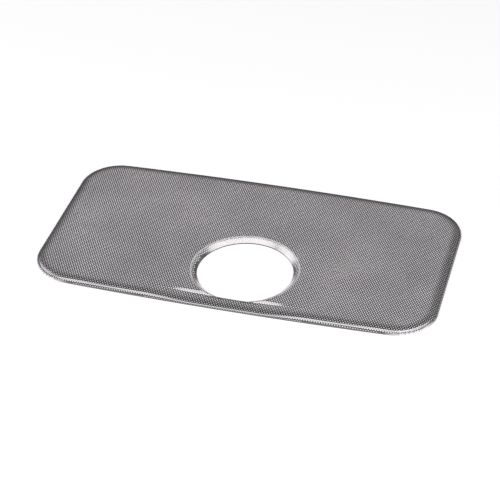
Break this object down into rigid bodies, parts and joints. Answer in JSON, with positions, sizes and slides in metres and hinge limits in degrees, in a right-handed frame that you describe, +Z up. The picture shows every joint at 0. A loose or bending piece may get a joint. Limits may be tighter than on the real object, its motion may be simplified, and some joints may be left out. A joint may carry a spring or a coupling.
{
  "type": "dishwasher flat filter",
  "caption": "Flat perforated steel dishwasher filter with round corners, a turned-down rim and a large round collared opening near the front edge for the filter cup.",
  "frame": {"origin": "middle of the outline, on the plane that the rim stands on", "axes": "+X along the length, +Y from the opening towards the back edge, +Z up through the sheet"},
  "size_m": [0.405, 0.214, 0.0055],
  "materials": {
    "stainless_sheet": "bright, finely perforated"
  },
  "bodies": {
    "root": {"filter_sheet": "stainless_sheet"}
  },
  "joints": []
}
